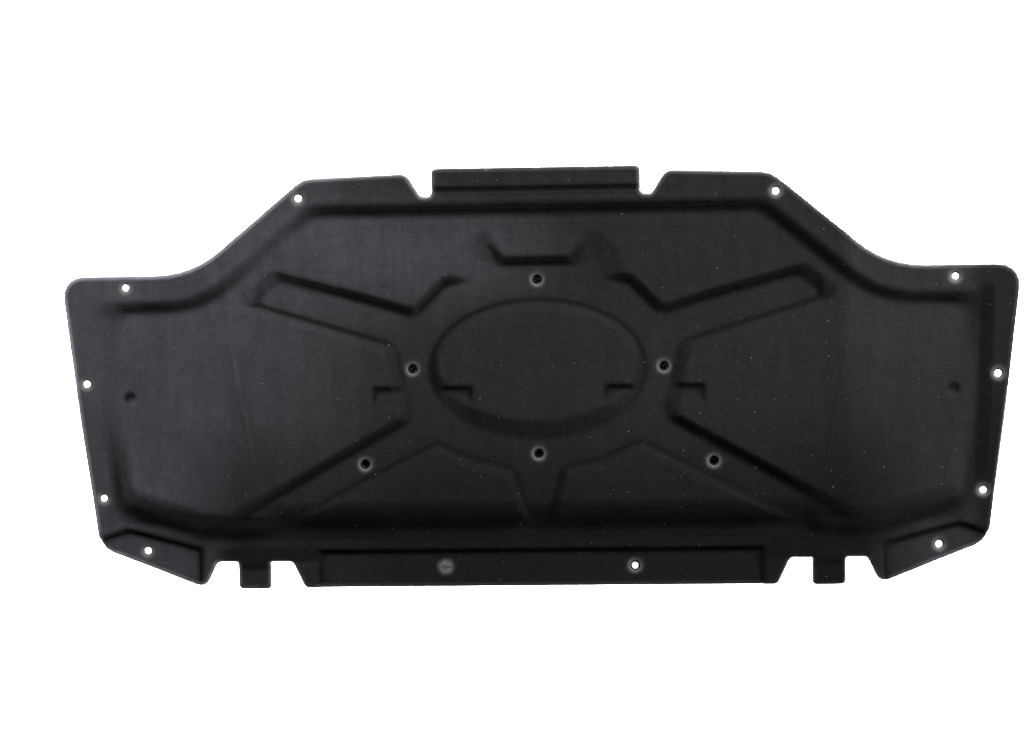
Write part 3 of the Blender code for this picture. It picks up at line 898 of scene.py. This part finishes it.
def ramp(tree: Tree, value: object, low: float, high: float) -> Output:
    """Maps a value to 0 at low and 1 at high, smoothly.

    Args:
        tree: the nodes' tree.
        value: the value.
        low: where the result is 0.
        high: where the result is 1.

    Returns:
        The result's socket.
    """
    node = tree.nodes.new("ShaderNodeMapRange")
    node.interpolation_type = "SMOOTHSTEP"
    join(tree, value, node.inputs["Value"])
    node.inputs["From Min"].default_value = low
    node.inputs["From Max"].default_value = high
    return node.outputs["Result"]


def added(tree: Tree, parts: list[tuple[object, float]]) -> Output:
    """Adds values up, each by its own weight.

    Args:
        tree: the nodes' tree.
        parts: the values and their weights.

    Returns:
        The sum's socket.
    """
    total: object = 0.0
    for value, weight in parts:
        total = math_node(tree, "ADD", math_node(tree, "MULTIPLY", value, weight), total)
    return total


def new_group(name: str, outputs: list[str]) -> tuple[Tree, Output, bpy.types.Node]:
    """Makes a node group that reads a place and puts out values.

    Args:
        name: the group's name.
        outputs: its outputs' names.

    Returns:
        The group, its place socket and its output node.
    """
    group = bpy.data.node_groups.new(name, "ShaderNodeTree")
    group.interface.new_socket("Place", in_out="INPUT", socket_type=Socket.VECTOR.value)
    for output in outputs:
        group.interface.new_socket(output, in_out="OUTPUT", socket_type=Socket.VALUE.value)
    place = group.nodes.new("NodeGroupInput").outputs["Place"]
    return group, place, group.nodes.new("NodeGroupOutput")


@dataclass(frozen=True)
class NoiseLayer:
    """One noise: its lumps a metre, its finer layers, its weight and its stretch."""

    scale: float
    detail: float
    weight: float = 1.0
    stretch: Triple = (1.0, 1.0, 1.0)

    def build(self, tree: Tree, place: Output) -> tuple[Output, float]:
        """Adds the noise.

        Args:
            tree: the nodes' tree.
            place: the point's socket.

        Returns:
            The noise value's socket and its weight.
        """
        mapping = tree.nodes.new("ShaderNodeMapping")
        mapping.inputs["Scale"].default_value = self.stretch
        tree.links.new(place, mapping.inputs["Vector"])
        texture = tree.nodes.new("ShaderNodeTexNoise")
        texture.inputs["Scale"].default_value = self.scale
        texture.inputs["Detail"].default_value = self.detail
        tree.links.new(mapping.outputs[0], texture.inputs["Vector"])
        return texture.outputs["Fac"], self.weight


@dataclass(frozen=True)
class FeltGrain:
    """The felt's fibres and needling streaks, about 1 on average."""

    fibres: NoiseLayer = NoiseLayer(560, 4, 0.8)
    strands: NoiseLayer = NoiseLayer(170, 3, 0.5, (1.0, 0.2, 1.0))
    cross: NoiseLayer = NoiseLayer(190, 3, 0.35, (0.25, 1.0, 1.0))
    tufts: NoiseLayer = NoiseLayer(70, 2, 0.35)
    streaks: NoiseLayer = NoiseLayer(60, 3, 0.5, (1.0, 0.12, 1.0))
    grain_share: float = 0.75

    def build(self) -> Tree:
        """Builds the grain.

        Returns:
            The node group.
        """
        group, place, out = new_group("felt_grain", ["Shade", "Height"])
        layers = (self.fibres, self.strands, self.cross, self.tufts)
        grain = added(group, [layer.build(group, place) for layer in layers])
        shade = added(group, [(grain, self.grain_share), self.streaks.build(group, place)])
        group.links.new(shade, out.inputs["Shade"])
        group.links.new(grain, out.inputs["Height"])
        return group


@dataclass(frozen=True)
class Haze:
    """A soft oval patch of the face: its middle, its half length and half width, and its strength."""

    centre: Pair
    reach: Pair
    strength: float = 1.0

    def build(self, tree: Tree, place: Output) -> Output:
        """Adds the patch.

        Args:
            tree: the nodes' tree.
            place: the point's socket.

        Returns:
            The patch's strength at the point.
        """
        mapping = tree.nodes.new("ShaderNodeMapping")
        mapping.vector_type = "TEXTURE"
        mapping.inputs["Location"].default_value = (*self.centre, 0)
        mapping.inputs["Scale"].default_value = (*self.reach, 1)
        tree.links.new(place, mapping.inputs["Vector"])
        away = tree.nodes.new("ShaderNodeVectorMath")
        away.operation = "LENGTH"
        tree.links.new(mapping.outputs[0], away.inputs[0])
        return math_node(tree, "MULTIPLY", ramp(tree, away.outputs["Value"], 1.0, 0.0), self.strength)


@dataclass(frozen=True)
class Zone:
    """A zone of the face. Each edge gives its axis, where the zone starts and where it is full."""

    name: str
    strength: float
    edges: tuple[tuple[Axis, float, float], ...]

    def build(self, tree: Tree, axes: dict[Axis, Output]) -> tuple[Output, float]:
        """Adds the zone.

        Args:
            tree: the nodes' tree.
            axes: the socket of each axis.

        Returns:
            The zone's share at the point, and its strength.
        """
        share: object = 1.0
        for axis, start, full in self.edges:
            share = math_node(tree, "MULTIPLY", ramp(tree, axes[axis], start, full), share)
        share.node.label = self.name
        return share, self.strength


@dataclass(frozen=True)
class DustVeil:
    """Painted light on the felt: a pale veil of painted sheen and uneven light, zones and bands of painted
    shade, and the calm places of its creases.
    """

    # Zones of painted sheen and uneven light; the two flanges nearest the key lamp get less of it.
    painted_sheen_zones: tuple[Zone, ...] = (
        Zone("left half", 0.65, ((Axis.ACROSS, -0.12, -0.4),)),
        Zone("right half", 0.03, ((Axis.ACROSS, 0.2, 0.36),)),
        Zone("upper left", 0.42, ((Axis.UP, 0.0, 0.17), (Axis.ACROSS, 0.1, -0.3))),
        Zone("side panels", 0.22, ((Axis.OUTER, 0.372, 0.4),)),
        Zone("right flange", -0.4, ((Axis.ACROSS, 0.535, 0.56),)),
        Zone("top flange", -0.25, ((Axis.UP, 0.195, 0.22),)),
    )
    # Oval spots of painted sheen: one left of the top middle, one on the lower right corner.
    painted_sheen_patches: tuple[Haze, ...] = (Haze((-0.12, 0.165), (0.2, 0.1), 0.6), Haze((0.5, -0.22), (0.1, 0.06), 0.35))
    clouds: NoiseLayer = NoiseLayer(8, 4)
    cloud_least: float = 0.5
    # Painted shade: zones of the face that lie in shade are made less bright.
    painted_shade: tuple[Zone, ...] = (
        Zone("low middle", -0.62, ((Axis.UP, 0.0, -0.16), (Axis.OUTER, 0.5, 0.36))),
        Zone(
            "strip above the bottom flange",
            -0.14,
            ((Axis.UP, -0.165, -0.185), (Axis.UP, -0.222, -0.21), (Axis.OUTER, 0.5, 0.36)),
        ),
        Zone(
            "fold above the notches",
            -0.45,
            (
                (Axis.UP, -0.208, -0.218),
                (Axis.UP, -0.231, -0.224),
                (Axis.OUTER, 0.26, 0.29),
                (Axis.OUTER, 0.42, 0.39),
            ),
        ),
        Zone("right half", -0.15, ((Axis.ACROSS, 0.1, 0.5),)),
        Zone("low right", -0.2, ((Axis.ACROSS, 0.3, 0.4), (Axis.UP, 0.05, -0.05))),
        Zone("right flange", -0.25, ((Axis.ACROSS, 0.535, 0.56),)),
    )
    darkest: float = 0.1
    band_up: float = -0.185
    band_bend_at: float = 0.371
    band_rise: float = 0.123
    band_fade: Pair = (0.017, 0.006)
    band_ends: Pair = (0.54, 0.5)
    band_left: Pair = (-0.17, -0.23)
    band_right: Pair = (0.3, 0.4)
    band_right_share: float = 0.4
    band_painted_shade: float = -0.85
    wall_across: float = 0.5565
    wall_lean: float = 0.057
    wall_fade: Pair = (0.012, 0.003)
    wall_low: Pair = (-0.15, -0.1)
    wall_high: Pair = (0.12, 0.1)
    wall_painted_shade: float = -0.62
    calm: tuple[Haze, ...] = (
        Haze((-0.33, 0.165), (0.13, 0.09)),
        Haze((-0.092, 0.156), (0.036, 0.042)),
        Haze((0.082, 0.16), (0.036, 0.042)),
        Haze((-0.511, -0.026), (0.016, 0.011)),
        Haze((0.511, -0.026), (0.016, 0.011)),
    )

    def build(self) -> Tree:
        """Builds the veil.

        Returns:
            The node group.
        """
        group, place, out = new_group("painted_light", ["Dust", "Light", "Calm"])
        parts = group.nodes.new("ShaderNodeSeparateXYZ")
        group.links.new(place, parts.inputs[0])
        axes = {Axis.ACROSS: parts.outputs["X"], Axis.UP: parts.outputs["Y"]}
        axes[Axis.OUTER] = math_node(group, "ABSOLUTE", axes[Axis.ACROSS])
        painted_sheen_patches = [(patch.build(group, place), 1.0) for patch in self.painted_sheen_patches]
        veil = added(group, [zone.build(group, axes) for zone in self.painted_sheen_zones] + painted_sheen_patches)
        clouds = added(group, [self.clouds.build(group, place), (self.cloud_least, 1.0)])
        group.links.new(math_node(group, "MULTIPLY", veil, clouds, clamp=True), out.inputs["Dust"])
        # Painted shade of the zones, the bottom band and the right wall.
        painted_shading = [zone.build(group, axes) for zone in self.painted_shade]
        painted_shading.append((self.painted_band_shade(group, axes), self.band_painted_shade))
        painted_shading.append((self.painted_wall_shade(group, axes), self.wall_painted_shade))
        light = added(group, [(1.0, 1.0), *painted_shading])
        group.links.new(math_node(group, "MAXIMUM", light, self.darkest), out.inputs["Light"])
        calm: object = 0.0
        for patch in self.calm:
            calm = math_node(group, "ADD", calm, patch.build(group, place), clamp=True)
        group.links.new(calm, out.inputs["Calm"])
        return group

    def painted_band_shade(self, group: Tree, axes: dict[Axis, Output]) -> Output:
        """Paints shade along the foot of the bottom wall, which rises towards both sides.

        Args:
            group: the veil's nodes.
            axes: the socket of each axis.

        Returns:
            The band's share at the point.
        """
        past_bend = added(group, [(axes[Axis.OUTER], 1.0), (1.0, -self.band_bend_at)])
        rise = math_node(group, "MULTIPLY", math_node(group, "MAXIMUM", past_bend, 0.0), self.band_rise)
        away = added(group, [(axes[Axis.UP], 1.0), (1.0, -self.band_up), (rise, -1.0)])
        near = ramp(group, math_node(group, "ABSOLUTE", away), *self.band_fade)
        band = math_node(group, "MULTIPLY", near, ramp(group, axes[Axis.OUTER], *self.band_ends))
        left = ramp(group, axes[Axis.ACROSS], *self.band_left)
        right = ramp(group, axes[Axis.ACROSS], *self.band_right)
        return math_node(group, "MULTIPLY", band, added(group, [(left, 1.0), (right, self.band_right_share)]))

    def painted_wall_shade(self, group: Tree, axes: dict[Axis, Output]) -> Output:
        """Paints shade on the wall beside the right flange.

        Args:
            group: the veil's nodes.
            axes: the socket of each axis.

        Returns:
            The wall's share at the point.
        """
        across, up = axes[Axis.ACROSS], axes[Axis.UP]
        away = added(group, [(across, 1.0), (1.0, -self.wall_across), (up, -self.wall_lean)])
        near = ramp(group, math_node(group, "ABSOLUTE", away), *self.wall_fade)
        wall = math_node(group, "MULTIPLY", near, ramp(group, up, *self.wall_low))
        return math_node(group, "MULTIPLY", wall, ramp(group, up, *self.wall_high))


@dataclass(frozen=True)
class Specks:
    """Round specks: cells a metre, largest radius in cells, share of empty cells, and weight."""

    scale: float
    size: float
    empty: float
    weight: float

    def build(self, tree: Tree, place: Output) -> tuple[Output, float]:
        """Scatters the specks, with one in a cell at most.

        Args:
            tree: the nodes' tree.
            place: the point's socket.

        Returns:
            The specks' mask and its weight.
        """
        cells = tree.nodes.new("ShaderNodeTexVoronoi")
        cells.voronoi_dimensions = "2D"
        cells.inputs["Scale"].default_value = self.scale
        tree.links.new(place, cells.inputs["Vector"])
        chance = tree.nodes.new("ShaderNodeSeparateColor")
        tree.links.new(cells.outputs["Color"], chance.inputs[0])
        radius = math_node(tree, "MULTIPLY", chance.outputs["Green"], self.size)
        near = math_node(tree, "LESS_THAN", cells.outputs["Distance"], radius)
        kept = math_node(tree, "GREATER_THAN", chance.outputs["Red"], self.empty)
        return math_node(tree, "MULTIPLY", near, kept), self.weight


@dataclass(frozen=True)
class LintSpecks:
    """Pale specks of lint that lie in the felt."""

    large: Specks = Specks(44, 0.03, 0.7, 0.8)
    small: Specks = Specks(150, 0.08, 0.75, 0.3)

    def build(self) -> Tree:
        """Builds the lint.

        Returns:
            The node group.
        """
        group, place, out = new_group("lint_specks", ["Mask"])
        lint = added(group, [self.large.build(group, place), self.small.build(group, place)])
        group.links.new(lint, out.inputs["Mask"])
        return group


@dataclass(frozen=True)
class SoftLight:
    """A square soft light that points at the pad. One for the floor alone lifts the shadows there."""

    name: str
    place: Triple
    size: float
    power: float
    for_floor: bool = False

    def build(self) -> bpy.types.Object:
        """Adds the light.

        Returns:
            The light's object.
        """
        light = bpy.data.lights.new(self.name, "AREA")
        light.size = self.size
        light.energy = self.power
        lamp = bpy.data.objects.new(self.name, light)
        lamp.location = self.place
        lamp.rotation_euler = (-Vector(self.place)).to_track_quat("-Z", "Y").to_euler()
        bpy.context.scene.collection.objects.link(lamp)
        return lamp


@dataclass(frozen=True)
class Studio:
    """White floor, two soft lights on the pad, three on the floor alone, and the photograph's camera."""

    lens: float = 50.0
    sensor: float = 36.0
    place: Triple = (0.02955, 0.0045, 1.8209)
    roll: float = -0.01238
    yaw: float = 0.03064
    floor_size: float = 12.0
    floor_drop: float = 0.0004
    floor_colour: Triple = (0.93, 0.93, 0.93)
    floor_roughness: float = 0.9
    floor_specular: float = 0.1
    world: float = 0.012
    lights: tuple[SoftLight, ...] = (
        SoftLight("key_light", (2.3, 2.4, 1.9), 1.5, 920.0),
        SoftLight("side_light", (-1.5, 1.1, 0.75), 0.7, 60.0),
        SoftLight("floor_light_low", (0.0, -2.1, 0.95), 1.2, 420.0, True),
        SoftLight("floor_light_right", (2.2, -0.2, 0.95), 1.2, 420.0, True),
        SoftLight("floor_light_left", (-2.2, -0.3, 0.55), 1.2, 420.0, True),
    )

    def build(self) -> None:
        """Builds the floor, the lights, the surround and the camera."""
        floor_only = bpy.data.collections.new("floor_only")
        floor_only.objects.link(self.add_floor())
        for light in self.lights:
            lamp = light.build()
            if light.for_floor:
                lamp.light_linking.receiver_collection = floor_only
        self.add_world()
        self.add_camera()

    def add_floor(self) -> bpy.types.Object:
        """Adds the white floor that the pad lies on.

        Returns:
            The floor.
        """
        start_alone()
        bpy.ops.mesh.primitive_plane_add(size=self.floor_size, location=(0, 0, -self.floor_drop))
        floor = bpy.context.object
        floor.name = "studio_floor"
        white = bpy.data.materials.new("studio_white")
        white.use_nodes = True
        shader = white.node_tree.nodes["Principled BSDF"]
        shader.inputs["Base Color"].default_value = (*self.floor_colour, 1.0)
        shader.inputs["Roughness"].default_value = self.floor_roughness
        shader.inputs["Specular IOR Level"].default_value = self.floor_specular
        floor.data.materials.append(white)
        return floor

    def add_world(self) -> None:
        """Adds an even white surround."""
        world = bpy.data.worlds.new("studio_surround")
        world.use_nodes = True
        sky = world.node_tree.nodes["Background"]
        sky.inputs["Color"].default_value = (1, 1, 1, 1)
        sky.inputs["Strength"].default_value = self.world
        bpy.context.scene.world = world
        bpy.context.scene.view_settings.view_transform = "Standard"

    def add_camera(self) -> None:
        """Adds the camera, which looks down on the pad as in the photograph."""
        data = bpy.data.cameras.new("photo_camera")
        data.lens = self.lens
        data.sensor_width = self.sensor
        camera = bpy.data.objects.new("photo_camera", data)
        turn = Matrix.Rotation(self.yaw, 4, "Y") @ Matrix.Rotation(self.roll, 4, "Z")
        camera.matrix_world = Matrix.Translation(self.place) @ turn
        bpy.context.scene.collection.objects.link(camera)
        bpy.context.scene.camera = camera


def main() -> None:
    """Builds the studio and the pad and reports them."""
    logging.basicConfig(level=logging.INFO, format="%(name)s: %(message)s")
    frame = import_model()
    studio = Studio()
    studio.build()
    log.info("studio: %d lights", len(studio.lights))
    pad = FeltPad()
    piece = pad.build(frame["nodes"][CAD_NODE])
    pad.dress(FeltFinish().build())
    log.info("%s: %d triangles, %d clip holes", piece.name, len(piece.data.polygons), len(pad.holes))


if __name__ == "__main__":
    main()
